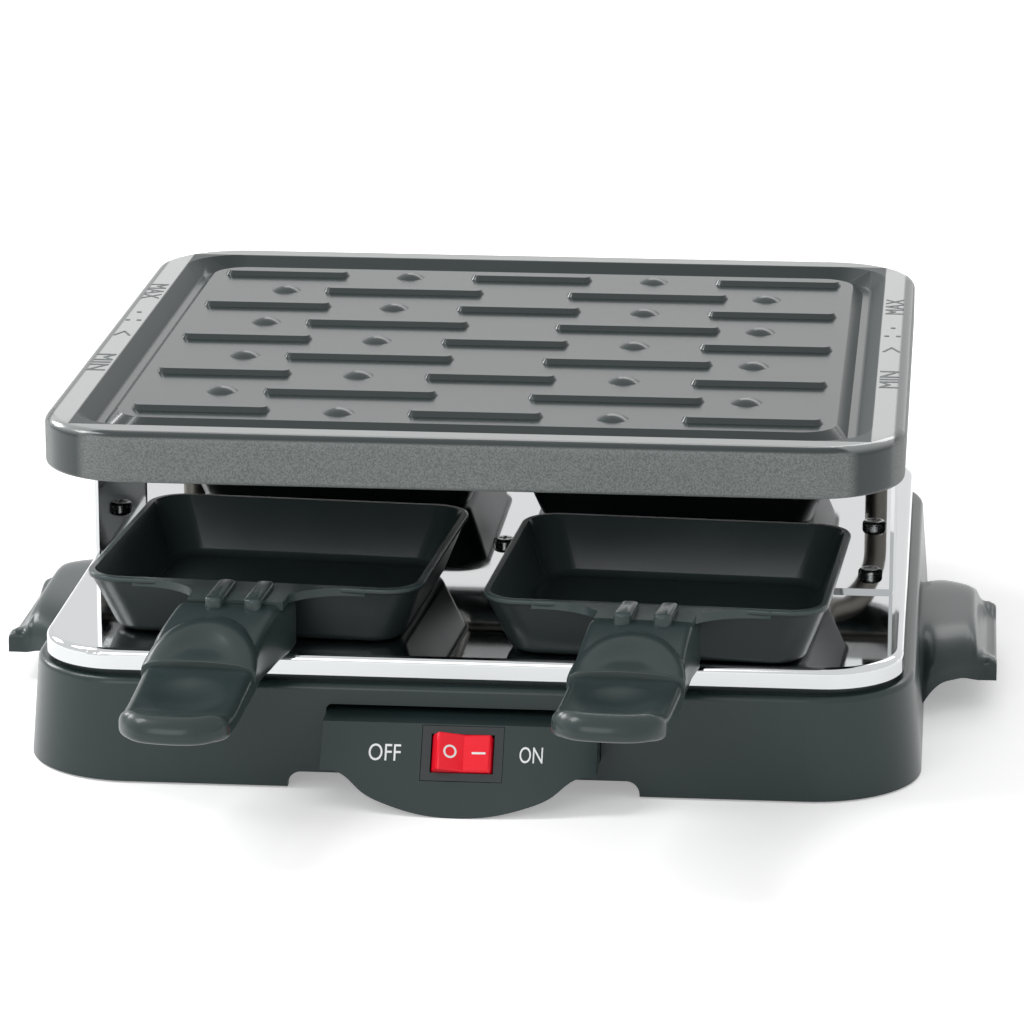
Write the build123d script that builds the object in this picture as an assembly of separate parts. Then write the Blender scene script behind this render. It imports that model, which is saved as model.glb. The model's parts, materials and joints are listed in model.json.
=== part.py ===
from build123d import *
from math import cos, radians, sin, tan
import os

# Raclette grill for four, lengths in millimetres and angles in degrees.
# The origin lies on the table under the middle of the base. +Z is up and the control panel faces -Y.

# grill plate: a cast square with a rim, a fat moat and a platform with ribs and buttons
plate_w, plate_r, plate_h = 225.0, 24.5, 13.4
plate_round, plate_low_round, plate_wall = 2.6, 1.2, 4.2
rim_w, moat_run, moat_depth, moat_t = 8.6, 4.0, 3.9, 3.6
side_groove, front_groove = 2.5, 5.5
platform_r, platform_h, platform_t = 9.5, 2.9, 3.8
rib_w, rib_h, rib_lean, rib_rows, row_margin = 5.2, 1.4, 32.0, 9, 9.5
rib_span_shares = ((-0.4815, -0.2857), (-0.0952, 0.0952), (0.2857, 0.4815))
between_span_shares = ((-0.3122, -0.0635), (0.0635, 0.3122))
button_r, button_h, button_share, between_button_share = 4.3, 1.5, 0.1905, 0.3704
pocket_inset, pocket_r = 4.5, 9.0
under_rib_t, under_rib_h, under_rib_share = 2.4, 2.6, 0.1667
pad_r, pad_in_x, pad_in_y, plate_over_pads = 4.5, 8.4, 10.8, 1.7

# side brackets and the tray that they stand on
bracket_in, bracket_half_l, bracket_t, bracket_h = 3.1, 38.8, 1.0, 43.8
bracket_foot_w, bracket_flange_w, bracket_bend = 16.0, 14.0, 0.8
tray_over_x, tray_in_y, tray_r = 0.8, 2.0, 21.0
tray_gap, tray_h, tray_t, tray_round = 1.8, 5.4, 0.8, 1.8
screw_in_x, screw_in_y = 6.4, 14.0
screw_head_r, screw_head_h, screw_head_round, screw_shank_r, screw_shank_l = 3.3, 1.9, 1.1, 1.5, 11.2
cross_l, cross_w, cross_depth = 3.6, 0.9, 0.8

# base housing
shoulder_ledge_x, shoulder_ledge_y, shoulder_r, base_draft = 3.0, 1.9, 27.5, 2.2
skirt_z, shoulder_z = 0.5, 28.0
wall, deck_t, shoulder_round = 2.6, 2.4, 1.8
notch_half, notch_z, notch_round = 46.0, 4.5, 3.5
plinth_gap, plinth_wall, plinth_round = 2.3, 5.0, 1.0
deck_vent_l, deck_vent_w, deck_vent_pitch, deck_vent_count = 60.0, 4.0, 14.0, 5
boss_r, boss_hole_r, boss_in_x, boss_in_y = 4.2, 1.3, 34.5, 34.6

# bottom cover and feet
cover_gap, cover_z, cover_t = 0.3, 4.8, 1.8
cover_vent_l, cover_vent_w, cover_vent_pitch, cover_vent_rows = 34.0, 3.0, 9.0, 6
cover_vent_x = 40.0
foot_in_x, foot_in_y, foot_r, foot_round, foot_neck_r, foot_neck_h = 22.5, 24.6, 8.0, 0.5, 4.0, 2.6
cover_screw_r, cover_screw_h, cover_screw_shank_r, cover_screw_shank_h = 3.0, 1.2, 1.2, 12.0

# control panel: a flat face that leans back, with a curved lower edge
panel_reach, panel_top_z, face_lean = 6.9, 21.0, 33.0
panel_half, panel_low_v, panel_t = 35.7, 25.0, 2.2
panel_side_share, panel_step_share = 0.528, 0.913
panel_edge_shares = ((0.818, 0.584), (0.695, 0.740), (0.515, 0.868), (0.280, 0.964))
plug_in, plug_z, plug_fit, plug_low_fit = 10.6, 6.9, 0.2, 1.2
ledge_gap, ledge_round = 1.8, 1.6

# rocker switch
bezel_w, bezel_h, bezel_t, bezel_gap, bezel_u, bezel_v = 21.0, 14.6, 1.0, 0.15, 1.0, 7.8
switch_w, switch_h, switch_depth, switch_wall = 19.0, 12.8, 8.4, 1.2
rocker_r, rocker_h, rocker_pivot = 8.0, 10.0, 2.0
rocker_low, rocker_mid, rocker_tip = 4.4, 0.9, 2.7
rocker_throw, rocker_gap = 9.0, 0.18
pivot_r, pivot_l, pivot_fit = 1.0, 0.8, 0.05
tab_w, tab_t, tab_l, tab_pitch = 4.8, 0.8, 3.6, 6.4

# side handles: a hood that springs from the wall, with a lip to grip
grip_half_l, grip_top_mid, grip_top_end, grip_corner = 38.0, 21.4, 18.9, 9.0
grip_root_in, grip_inner, grip_outer, grip_low_z = 8.5, 2.5, 14.2, 9.6
grip_round, grip_wall, grip_root_z, grip_root_round = 2.0, 2.5, 3.6, 6.0
lip_half_l, lip_reach, lip_top, lip_low, lip_rise, lip_corner = 29.0, 5.7, 11.8, 8.2, 4.2, 3.0
grip_rib_t, grip_rib_y = 1.8, 14.0

# heating element, a tube bent to and fro under the plate
tube_r, tube_bend, tube_drop = 3.25, 13.0, 6.2
leg_in_x, leg_in_y, leg_low = 6.9, 20.2, 17.0
run_count, run_in, jog_l, front_run_in, rear_run_in = 6, 14.5, 16.0, 40.5, 52.5
bush_r, bush_flange_r, bush_flange_t, bush_low, bush_fit = 5.3, 7.0, 2.0, 21.0, 0.1
rack_r, rack_y = 1.5, 33.0
pin_r, pin_l = 1.4, 6.0

# pans
pan_side_room, pan_middle_room, pan_r = 18.4, 24.5, 10.0
pan_taper, pan_low_r, pan_clear, pan_h, pan_t = 6.5, 9.0, 0.3, 16.5, 1.3
pan_rim_w, pan_rim_t, pan_rim_round, pan_low_round = 0.5, 1.6, 0.6, 3.0
tongue_l, tongue_half, tongue_flare, tongue_flare_l, tongue_t = 15.5, 12.6, 31.0, 8.5, 2.2
tongue_rib_w, tongue_rib_l, tongue_rib_h, tongue_rib_x, tongue_rib_in = 4.4, 12.4, 1.3, 5.1, 1.1
tongue_rib_lean = 16.0
# where the middle of each pan stands: past its half width and half depth, with its turn
front_left_x, front_left_y, front_left_turn = -9.5, -17.5, -3.9
front_right_x, front_right_y, front_right_turn = 6.0, -28.0, -3.3
rear_left_x, rear_left_y = -8.0, 28.6
rear_right_x, rear_right_y = 1.5, 17.5
rear_turn, level_tip, front_right_tip = 180.0, 0.0, 3.0

# pan handles: distances before the pan's rim, and drops below its top
neck_back, neck_flat, neck_low_drop, handle_half, handle_end_half = 3.0, 13.4, 15.9, 14.2, 14.8
crease_l, crease_drop, dome_half, dome_reach, dome_rise = 39.5, 11.3, 13.4, 18.6, 2.5
dome_crown_r, dome_round = 42.0, 1.3
pad_line = ((51.0, 13.2), (64.0, 14.7))
pad_end_l, pad_end_drop, tip_l, tip_drop, tip_low_l, tip_low_drop = 75.5, 13.9, 82.0, 16.4, 79.0, 19.0
belly_line = ((60.0, 20.4), (40.0, 19.4))
handle_corner_r = 7.0
handle_screw_l, handle_screw_r, handle_screw_h, handle_shank_r, handle_shank_in = 9.5, 3.2, 1.6, 1.6, 1.4
handle_screw_gap = 0.15

# cord entry and electrics inside the base
gland_in_x, gland_z, gland_r, gland_flange_r = 54.5, 14.0, 5.2, 7.4
gland_l, gland_flange_t, gland_bore_r, gland_groove = 13.0, 2.6, 3.3, 0.8
block_w, block_d, block_h, block_in_x, block_in_y = 34.0, 18.0, 9.0, 88.5, 28.6
block_pole_r, block_pole_pitch, block_poles = 2.2, 10.0, 3
cutoff_r, cutoff_h, cutoff_in_x, cutoff_in_y = 8.0, 9.2, 58.5, 54.6
cutoff_ear_l, cutoff_ear_w, cutoff_ear_t = 12.0, 4.8, 0.8
clamp_w, clamp_d, clamp_h = 20.0, 8.0, 6.0
wire_r, wire_z, wire_bend, wire_turn_in, wire_front_in, wire_cutoff_l = 1.2, 19.6, 3.0, 48.6, 22.6, 8.0

# sizes that follow
tray_w, tray_d = plate_w + 2 * tray_over_x, plate_w - 2 * tray_in_y
shoulder = (tray_w + 2 * shoulder_ledge_x, tray_d + 2 * shoulder_ledge_y, shoulder_r)
base_w, base_d, base_r = (s + grow * base_draft for s, grow in zip(shoulder, (2, 2, 1)))
tray_low = shoulder_z + tray_gap
tray_top = tray_low + tray_h
bracket_x = plate_w / 2 - bracket_in
bracket_top = tray_top + bracket_h
plate_low = bracket_top + plate_over_pads
plate_top = plate_low + plate_h
moat_z = plate_top - moat_depth
web_z = moat_z - moat_t
platform_z = moat_z + platform_h
moat_w = plate_w - 2 * (rim_w + moat_run)
platform_w = moat_w - 2 * (side_groove + platform_h)
platform_d = moat_w - 2 * (front_groove + platform_h)
tube_z = plate_low - tube_drop
leg_x, leg_y = bracket_x - leg_in_x, tray_d / 2 - plinth_gap - leg_in_y
pan_w, pan_d = bracket_x - bracket_t - pan_side_room, tray_d / 2 - pan_middle_room
pan_low = tray_top + pan_clear
pan_z = pan_low + pan_h
face_y, plug_y = -(base_d / 2 + panel_reach), -(base_d / 2 - plug_in)
grip_in_x, grip_out_x = base_w / 2 + grip_inner, base_w / 2 + grip_outer
gland_x, block_x, block_y = gland_in_x - base_w / 2, block_in_x - base_w / 2, base_d / 2 - block_in_y
cutoff_x, cutoff_y = base_w / 2 - cutoff_in_x, base_d / 2 - cutoff_in_y


def slab(w, d, r, low, high):
    return extrude(Pos(0, 0, low) * RectangleRounded(w, d, r), amount=high - low)


def frustum(low_size, low, high_size, high):
    lower = Pos(0, 0, low) * RectangleRounded(*low_size)
    upper = Pos(0, 0, high) * RectangleRounded(*high_size)
    return loft([lower.face(), upper.face()])


def block(x0, x1, y0, y1, z0, z1):
    return Pos((x0 + x1) / 2, (y0 + y1) / 2, (z0 + z1) / 2) * Box(x1 - x0, y1 - y0, z1 - z0)


def rod(x, y, low, high, r):
    return Pos(x, y, (low + high) / 2) * Cylinder(r, high - low)


def cross_bar(y, z, l, r):
    return Pos(0, y, z) * Rot(0, 90, 0) * Cylinder(r, l)


def cross(x, y, low, high):
    """The cross-shaped recess of a screw head."""
    l, w = cross_l / 2, cross_w / 2
    return block(x - l, x + l, y - w, y + w, low, high) + block(x - w, x + w, y - l, y + l, low, high)


def row(count, pitch):
    return [(k - (count - 1) / 2) * pitch for k in range(count)]


def four(x, y):
    return [(sx * x, sy * y) for sx in (-1, 1) for sy in (-1, 1)]


def inset(size, t):
    return size[0] - 2 * t, size[1] - 2 * t, size[2] - t


def top_edges(shape):
    return shape.edges().group_by(Axis.Z)[-1]


def low_edges(shape):
    return shape.edges().group_by(Axis.Z)[0]


def bent_tube(points, bend, r):
    """A round tube along straight runs with round bends between them."""
    pts = [Vector(*p) for p in points]
    lines, start = [], pts[0]
    for a, b, c in zip(pts, pts[1:], pts[2:]):
        u, v = (b - a).normalized(), (c - b).normalized()
        half = radians(u.get_angle(v)) / 2
        near, far = b - u * bend * tan(half), b + v * bend * tan(half)
        middle = b + (v - u).normalized() * (bend / cos(half) - bend)
        lines += [Line(start, near), ThreePointArc(near, middle, far)]
        start = far
    lines.append(Line(start, pts[-1]))
    path = Wire([e for line in lines for e in line.edges()])
    section = Plane(pts[0], z_dir=pts[1] - pts[0]) * Circle(r)
    return sweep(section, path=path)


base_foot = (base_w, base_d, base_r)
tray_spots = four(bracket_x - screw_in_x, bracket_half_l - screw_in_y) + [(0, 0)]
boss_spots = four(base_w / 2 - boss_in_x, base_d / 2 - boss_in_y)
foot_spots = four(base_w / 2 - foot_in_x, base_d / 2 - foot_in_y)


def base_size(z):
    """The housing's outline at height z, on its leaning wall."""
    share = (z - skirt_z) / (shoulder_z - skirt_z)
    return tuple(a + (b - a) * share for a, b in zip(base_foot, shoulder))


def housing_body():
    return frustum(base_foot, skirt_z, shoulder, shoulder_z)


# the face plane of the panel: x across, y up the slope, z out of the face
face_plane = Plane(
    origin=(0, face_y, panel_top_z),
    x_dir=(1, 0, 0),
    z_dir=(0, -cos(radians(face_lean)), sin(radians(face_lean))),
)


def on_face(u, v, n=0):
    return face_plane * Pos(u, -v, n)


def switch_box(w, h, low, high):
    return on_face(bezel_u, bezel_v, low) * extrude(Rectangle(w, h), amount=high - low)


def panel_outline(shrink=0):
    half, low = panel_half - shrink, panel_low_v - shrink
    side = panel_side_share * panel_low_v - shrink
    curve = [(panel_step_share * panel_half - shrink / 2, side)]
    curve += [(u * panel_half - shrink / 2, v * panel_low_v - shrink) for u, v in panel_edge_shares]
    curve += [(0, low)] + [(-u, v) for u, v in reversed(curve)]
    step = curve[0][0]
    edge = Spline([(u, -v) for u, v in curve])
    rest = [(-step, -side), (-half, -side), (-half, 0), (half, 0), (half, -side), (step, -side)]
    return make_face(edge + Polyline(rest))


def panel_prism(shrink, sink=0):
    """The panel's outline, sunk below the face and drawn straight back through the wall."""
    outline = face_plane * Pos(0, 0, -sink) * panel_outline(shrink)
    return extrude(outline, amount=-face_y, dir=(0, 1, 0))


def make_panel():
    outer = panel_prism(0) & block(-panel_half, panel_half, -base_d, plug_y, 0, panel_top_z)
    plug = block(-panel_half, panel_half, -base_d, plug_y, plug_z, panel_top_z)
    outer = (outer - housing_body()) + (outer & plug)
    room = block(-panel_half, panel_half, -base_d, 0, panel_t, panel_top_z - panel_t)
    shell = outer - (panel_prism(panel_t, panel_t) & room)
    gap = 2 * bezel_gap
    shell -= switch_box(bezel_w + gap, bezel_h + gap, -bezel_t, bezel_t)
    return shell - switch_box(switch_w + gap, switch_h + gap, -switch_depth, 0)


def panel_window():
    """The opening in the front wall for the panel's plug, and the slit over its ledge."""
    low, high = plug_z - plug_low_fit, panel_top_z + ledge_gap
    wide, back = panel_half + plug_fit, plug_y + wall
    plug = panel_prism(-plug_fit) & block(-wide, wide, -base_d, back, low, high)
    slit = block(-wide, wide, -base_d, back, panel_top_z - ledge_round, high)
    corners = slit.edges().filter_by(Axis.Y).group_by(Axis.Z)[-1]
    return plug + fillet(corners, ledge_round)


def make_housing():
    outer = housing_body()
    outer = fillet(top_edges(outer), shoulder_round)
    inner_top = inset(base_size(shoulder_z - deck_t), wall)
    body = outer - frustum(inset(base_foot, wall), 0, inner_top, shoulder_z - deck_t)
    plinth_size = inset((tray_w, tray_d, tray_r), plinth_gap)
    plinth = slab(*plinth_size, shoulder_z - deck_t, tray_top - tray_t)
    body += fillet(top_edges(plinth), plinth_round)
    body -= slab(*inset(plinth_size, plinth_wall), shoulder_z, tray_top)
    notch = block(-notch_half, notch_half, -base_d, base_d, notch_z - base_w, notch_z)
    body -= fillet(notch.edges().filter_by(Axis.Y).group_by(Axis.Z)[-1], notch_round)
    body -= panel_window()
    for x in row(deck_vent_count, deck_vent_pitch):
        slot = Pos(x, 0, shoulder_z - deck_t) * Rot(0, 0, 90) * SlotOverall(deck_vent_l, deck_vent_w)
        body -= extrude(slot, amount=deck_t, both=True)
    for x in (-leg_x, leg_x):
        body += rod(x, leg_y, bush_low, tray_top - tray_t, bush_r + wall)
        body -= rod(x, leg_y, bush_low, tray_top, bush_r + bush_fit)
    for x, y in tray_spots:
        body += rod(x, y, tray_top - screw_shank_l, tray_top - tray_t, boss_r)
        body -= rod(x, y, tray_top - screw_shank_l, tray_top, screw_shank_r)
    for x, y in boss_spots:
        body += rod(x, y, cover_z + cover_t, shoulder_z - deck_t / 2, boss_r)
        body -= rod(x, y, cover_z, cover_z + cover_screw_shank_h, boss_hole_r)
    bore = Pos(gland_x, base_d / 2, gland_z) * Rot(90, 0, 0) * Cylinder(gland_r, gland_l * 2)
    return body - bore


def make_cover():
    body = slab(*inset(base_size(cover_z), wall + cover_gap), cover_z, cover_z + cover_t)
    for x in (-cover_vent_x, cover_vent_x):
        for y in row(cover_vent_rows, cover_vent_pitch):
            slot = Pos(x, y, cover_z) * SlotOverall(cover_vent_l, cover_vent_w)
            body -= extrude(slot, amount=cover_t)
    for x, y in foot_spots:
        body -= rod(x, y, cover_z, cover_z + cover_t, foot_neck_r)
    for x, y in boss_spots:
        body -= rod(x, y, cover_z, cover_z + cover_t, cover_screw_shank_r)
    return body


def make_feet():
    feet = Part()
    for x, y in foot_spots:
        pad = rod(x, y, 0, cover_z, foot_r)
        pad = fillet(low_edges(pad), foot_round)
        feet += pad + rod(x, y, cover_z, cover_z + foot_neck_h, foot_neck_r)
    return feet


def make_cover_screws():
    screws = Part()
    for x, y in boss_spots:
        low = cover_z - cover_screw_h
        screws += rod(x, y, low, cover_z, cover_screw_r) - cross(x, y, low, low + cross_depth)
        screws += rod(x, y, cover_z, cover_z + cover_screw_shank_h, cover_screw_shank_r)
    return screws


def make_switch_body():
    body = switch_box(bezel_w, bezel_h, -bezel_t, 0)
    body += switch_box(switch_w, switch_h, -switch_depth, -bezel_t)
    well_w, well_h = 2 * (rocker_r + rocker_gap), rocker_h + 2 * rocker_gap
    body -= switch_box(well_w, well_h, switch_wall - switch_depth, bezel_t)
    pin_l_whole = rocker_h + 2 * pivot_l + rocker_gap
    pins = on_face(bezel_u, bezel_v, -rocker_pivot) * Rot(90, 0, 0)
    return body - pins * Cylinder(pivot_r + pivot_fit, pin_l_whole)


def make_rocker():
    profile = [(-rocker_r, -rocker_low), (-rocker_r, rocker_tip), (0, rocker_mid)]
    profile += [(rocker_r, rocker_tip), (rocker_r, -rocker_low)]
    outline = make_face(Polyline(profile, close=True))
    section = outline & (Pos(0, -rocker_pivot) * Circle(rocker_r))
    body = extrude(Plane.XZ * section, amount=rocker_h / 2, both=True)
    body = Pos(0, 0, rocker_pivot) * body + Rot(90, 0, 0) * Cylinder(pivot_r, rocker_h + 2 * pivot_l)
    return on_face(bezel_u, bezel_v, -rocker_pivot) * Rot(0, rocker_throw, 0) * body


def make_tabs():
    tabs = Part()
    for u in row(3, tab_pitch):
        tab = Pos(u, 0, -tab_l / 2) * Box(tab_t, tab_w, tab_l)
        tabs += on_face(bezel_u, bezel_v, -switch_depth) * tab
    return tabs


def grip_arch():
    """The hood's side view, drawn out along X."""
    end = (grip_half_l, grip_top_end)
    other_end = (-grip_half_l, grip_top_end)
    top = ThreePointArc(other_end, (0, grip_top_mid), end)
    sides = Polyline([end, (grip_half_l, 0), (-grip_half_l, 0), other_end])
    view = make_face(top + sides)
    view = fillet(view.vertices().group_by(Axis.Y)[-1], grip_corner)
    return extrude(Plane.YZ * view, amount=grip_out_x)


def lip_body():
    """The lip along the hood's outer foot, with a hollow curve above it."""
    inner, outer = grip_out_x - grip_wall, grip_out_x + lip_reach
    bend = ThreePointArc(
        (outer, lip_top),
        (grip_out_x + lip_reach / 3, lip_top + lip_rise / 4),
        (grip_out_x - lip_corner / 4, lip_top + lip_rise),
    )
    foot = Polyline([bend @ 1, (inner, lip_top + lip_rise), (inner, lip_low), (outer, lip_low), bend @ 0])
    lip = extrude(Plane.XZ * make_face(bend + foot), amount=lip_half_l, both=True)
    return fillet(lip.edges().filter_by(Axis.Z).group_by(Axis.X)[-1], lip_corner)


def make_grip():
    root_x, bend_x, low = base_w / 2 - grip_root_in, grip_in_x + grip_root_round / 2, grip_low_z
    start, knee = (base_w / 2, grip_root_z), (bend_x, low)
    front = Line((root_x, grip_root_z), start)
    front += Spline([start, (grip_in_x, grip_root_z + grip_root_round / 2), knee])
    front += Polyline([knee, (grip_out_x, low), (grip_out_x, grip_top_mid), (root_x, grip_top_mid)])
    front += Line((root_x, grip_top_mid), (root_x, grip_root_z))
    body = extrude(Plane.XZ * make_face(front), amount=grip_half_l, both=True) & grip_arch()
    outer_face = body.faces().sort_by(Axis.X)[-1]
    hood_edges = outer_face.edges().filter_by(lambda e: e.center().Z > low + grip_round)
    body = fillet(hood_edges, grip_round)
    y, z = grip_half_l - grip_wall, grip_top_end - grip_wall
    hollow = block(grip_in_x, grip_out_x - grip_wall, -y, y, 0, z)
    body -= fillet(hollow.edges().filter_by(Axis.X).group_by(Axis.Z)[-1], grip_corner - grip_wall)
    for y in (-grip_rib_y, grip_rib_y):
        body += block(grip_in_x, grip_out_x - grip_wall, y - grip_rib_t / 2, y + grip_rib_t / 2, low, z)
    return body + lip_body() - housing_body()


def make_tray():
    size = (tray_w, tray_d, tray_r)
    body = slab(*size, tray_low, tray_top)
    body = fillet(top_edges(body), tray_round)
    inside = slab(*inset(size, tray_t), tray_low, tray_top - tray_t)
    body -= fillet(top_edges(inside), tray_round - tray_t)
    for x in (-leg_x, leg_x):
        body -= rod(x, leg_y, tray_low, tray_top, bush_r + bush_fit)
    for x, y in tray_spots:
        body -= rod(x, y, tray_low, tray_top, screw_shank_r)
    return body


def make_bracket():
    x, t, half = bracket_x, bracket_t, bracket_half_l
    body = block(x - t, x, -half, half, tray_top, bracket_top)
    body += block(x - bracket_foot_w, x, -half, half, tray_top, tray_top + t)
    body += block(x - bracket_flange_w, x, -half, half, bracket_top - t, bracket_top)
    outer_bends = body.edges().filter_by(Axis.Y).group_by(Axis.X)[-1]
    body = fillet(outer_bends, bracket_bend)
    for y in (-half + screw_in_y, half - screw_in_y):
        body -= rod(x - screw_in_x, y, tray_top, tray_top + t, screw_shank_r)
    for y in (-rack_y, rack_y):
        body -= cross_bar(y, tube_z - tube_r - rack_r, 2 * bracket_x + t, rack_r)
    return body


def make_tray_screws():
    screws = Part()
    for x, y in tray_spots:
        seat = tray_top + (bracket_t if x else 0)
        head = rod(x, y, seat, seat + screw_head_h, screw_head_r)
        head = fillet(top_edges(head), screw_head_round)
        head -= cross(x, y, seat + screw_head_h - cross_depth, seat + screw_head_h)
        screws += head + rod(x, y, tray_top - screw_shank_l, seat, screw_shank_r)
    return screws


def make_element():
    outer = leg_x - run_in
    front, rear = -plate_w / 2 + front_run_in, plate_w / 2 - rear_run_in
    points = [(-leg_x, leg_y, leg_low), (-leg_x, leg_y, tube_z), (-outer, leg_y - jog_l, tube_z)]
    runs = row(run_count, 2 * outer / (run_count - 1))
    for k, (x, next_x) in enumerate(zip(runs, runs[1:])):
        y = rear if k % 2 else front
        points += [(x, y, tube_z), (next_x, y, tube_z)]
    points += [(outer, leg_y - jog_l, tube_z), (leg_x, leg_y, tube_z), (leg_x, leg_y, leg_low)]
    return bent_tube(points, tube_bend, tube_r)


def make_bushes():
    bushes = Part()
    for x in (-leg_x, leg_x):
        bush = rod(x, leg_y, bush_low, tray_top, bush_r)
        bush += rod(x, leg_y, tray_top, tray_top + bush_flange_t, bush_flange_r)
        bushes += bush - rod(x, leg_y, bush_low, tray_top + bush_flange_t, tube_r)
    return bushes


def make_element_pins():
    pins = Part()
    for x in (-leg_x, leg_x):
        pins += rod(x, leg_y, leg_low - pin_l, leg_low, pin_r)
    return pins


def make_rack():
    bars = Part()
    for y in (-rack_y, rack_y):
        bars += cross_bar(y, tube_z - tube_r - rack_r, 2 * bracket_x, rack_r)
    return bars


def button(x, y):
    ball_r = (button_r**2 + button_h**2) / (2 * button_h)
    ball = Pos(x, y, platform_z + button_h - ball_r) * Sphere(ball_r)
    reach, low, high = 2 * button_r, platform_z - button_h / 2, platform_z + 2 * button_h
    return ball & block(x - reach, x + reach, y - reach, y + reach, low, high)


def make_plate():
    size = (plate_w, plate_w, plate_r)
    outer = slab(*size, plate_low, plate_top)
    outer = fillet(top_edges(outer), plate_round)
    outer = fillet(low_edges(outer), plate_low_round)
    mouth = inset(size, rim_w)
    moat = frustum(inset(mouth, moat_run), moat_z, mouth, plate_top)
    top_size = (platform_w, platform_d, platform_r)
    foot_size = (platform_w + 2 * platform_h, platform_d + 2 * platform_h, platform_r)
    body = outer - moat + frustum(foot_size, moat_z, top_size, platform_z)
    body -= slab(*inset(size, plate_wall), plate_low, web_z)
    pocket_w, pocket_d = platform_w - 2 * pocket_inset, platform_d - 2 * pocket_inset
    pocket_z = platform_z - platform_t
    body -= slab(pocket_w, pocket_d, pocket_r, web_z, pocket_z)
    row_pitch = (platform_d - 2 * row_margin) / (rib_rows - 1)
    for k, y in enumerate(row(rib_rows, row_pitch)):
        spans = between_span_shares if k % 2 else rib_span_shares
        for a, b in spans:
            bar = Pos((a + b) / 2 * platform_w, y, platform_z) * SlotOverall((b - a) * platform_w, rib_w)
            body += extrude(bar, amount=rib_h, taper=rib_lean)
        button_x = platform_w * (between_button_share if k % 2 else button_share)
        body += button(-button_x, y) + button(button_x, y)
    for x, y in four(bracket_x - pad_in_x, bracket_half_l - pad_in_y):
        body += rod(x, y, bracket_top, web_z, pad_r)
    half_t, half_d, low = under_rib_t / 2, pocket_d / 2, web_z - under_rib_h
    for x in (-pocket_w * under_rib_share, pocket_w * under_rib_share):
        body += block(x - half_t, x + half_t, -half_d, half_d, low, pocket_z)
    return body


def tip_up(shape, tip):
    """Turns a tongue or handle up about the front of the pan's rim."""
    hinge = Pos(0, -pan_d / 2, pan_z)
    return hinge * Rot(-tip, 0, 0) * hinge.inverse() * shape


def make_tongue():
    front = -pan_d / 2
    tip, flare_end, mid_half = front - tongue_l, front - tongue_flare_l, tongue_half + tongue_rib_w
    middle = (mid_half, front - tongue_flare_l / 2.5)
    curve = ThreePointArc((tongue_flare, front), middle, (tongue_half, flare_end))
    edge = curve + Line((tongue_half, flare_end), (tongue_half, tip))
    closing = Line((tongue_half, tip), (-tongue_half, tip))
    back_y = front + pan_rim_t
    back = [(-tongue_flare, front), (-tongue_flare, back_y), (tongue_flare, back_y), (tongue_flare, front)]
    outline = make_face(edge + mirror(edge, about=Plane.YZ) + closing + Polyline(back))
    tongue = extrude(Pos(0, 0, pan_z - tongue_t) * outline, amount=tongue_t)
    for x in (-tongue_rib_x, tongue_rib_x):
        spot = Pos(x, front - tongue_rib_in - tongue_rib_l / 2, pan_z) * Rot(0, 0, 90)
        rib = spot * SlotOverall(tongue_rib_l, tongue_rib_w)
        tongue += extrude(rib, amount=tongue_rib_h, taper=tongue_rib_lean)
    y = front - handle_screw_l
    return tongue - rod(0, y, pan_z - tongue_t, pan_z - tongue_t + handle_shank_in, handle_shank_r)


def make_pan(tip):
    rim_size = (pan_w, pan_d, pan_r)
    low = (pan_w - 2 * pan_taper, pan_d - 2 * pan_taper, pan_low_r)
    dish = frustum(low, pan_low, inset(rim_size, pan_rim_w), pan_z - pan_rim_t / 2)
    dish = fillet(low_edges(dish), pan_low_round)
    rim = slab(*rim_size, pan_z - pan_rim_t, pan_z)
    rim = fillet(top_edges(rim) + low_edges(rim), pan_rim_round)
    hollow = frustum(inset(low, pan_t), pan_low + pan_t, inset(rim_size, pan_rim_w + pan_t), pan_z)
    hollow = fillet(low_edges(hollow), pan_low_round - pan_t / 2)
    return dish + rim + tip_up(make_tongue(), tip) - hollow


def handle_side_view():
    def spot(l, drop):
        return -pan_d / 2 - l, pan_z - drop

    top = Polyline([spot(neck_back, tongue_t), spot(neck_flat, tongue_t), spot(crease_l, crease_drop)])
    pad_points = [spot(crease_l, crease_drop)] + [spot(*p) for p in pad_line]
    pad = Spline(pad_points + [spot(pad_end_l, pad_end_drop)])
    end = Spline([spot(pad_end_l, pad_end_drop), spot(tip_l, tip_drop), spot(tip_low_l, tip_low_drop)])
    neck_foot = spot(neck_flat + neck_back, neck_low_drop)
    under = Spline([spot(tip_low_l, tip_low_drop)] + [spot(*p) for p in belly_line] + [neck_foot])
    close = Polyline([neck_foot, spot(neck_back, neck_low_drop), spot(neck_back, tongue_t)])
    return make_face(top + pad + end + under + close)


def handle_plan():
    back, crease, end = (-pan_d / 2 - l for l in (neck_back, crease_l, tip_l))
    right = [(handle_half, back), (handle_half, crease), (handle_end_half, end)]
    outline = make_face(Polyline(right + [(-x, y) for x, y in reversed(right)], close=True))
    outline = fillet(outline.vertices().group_by(Axis.Y)[0], handle_corner_r)
    nose_r = 2 * handle_end_half
    nose = Pos(0, end + nose_r) * (Circle(nose_r) + Pos(0, -end / 2) * Rectangle(2 * nose_r, -end))
    return extrude(outline & nose, amount=pan_z)


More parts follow.
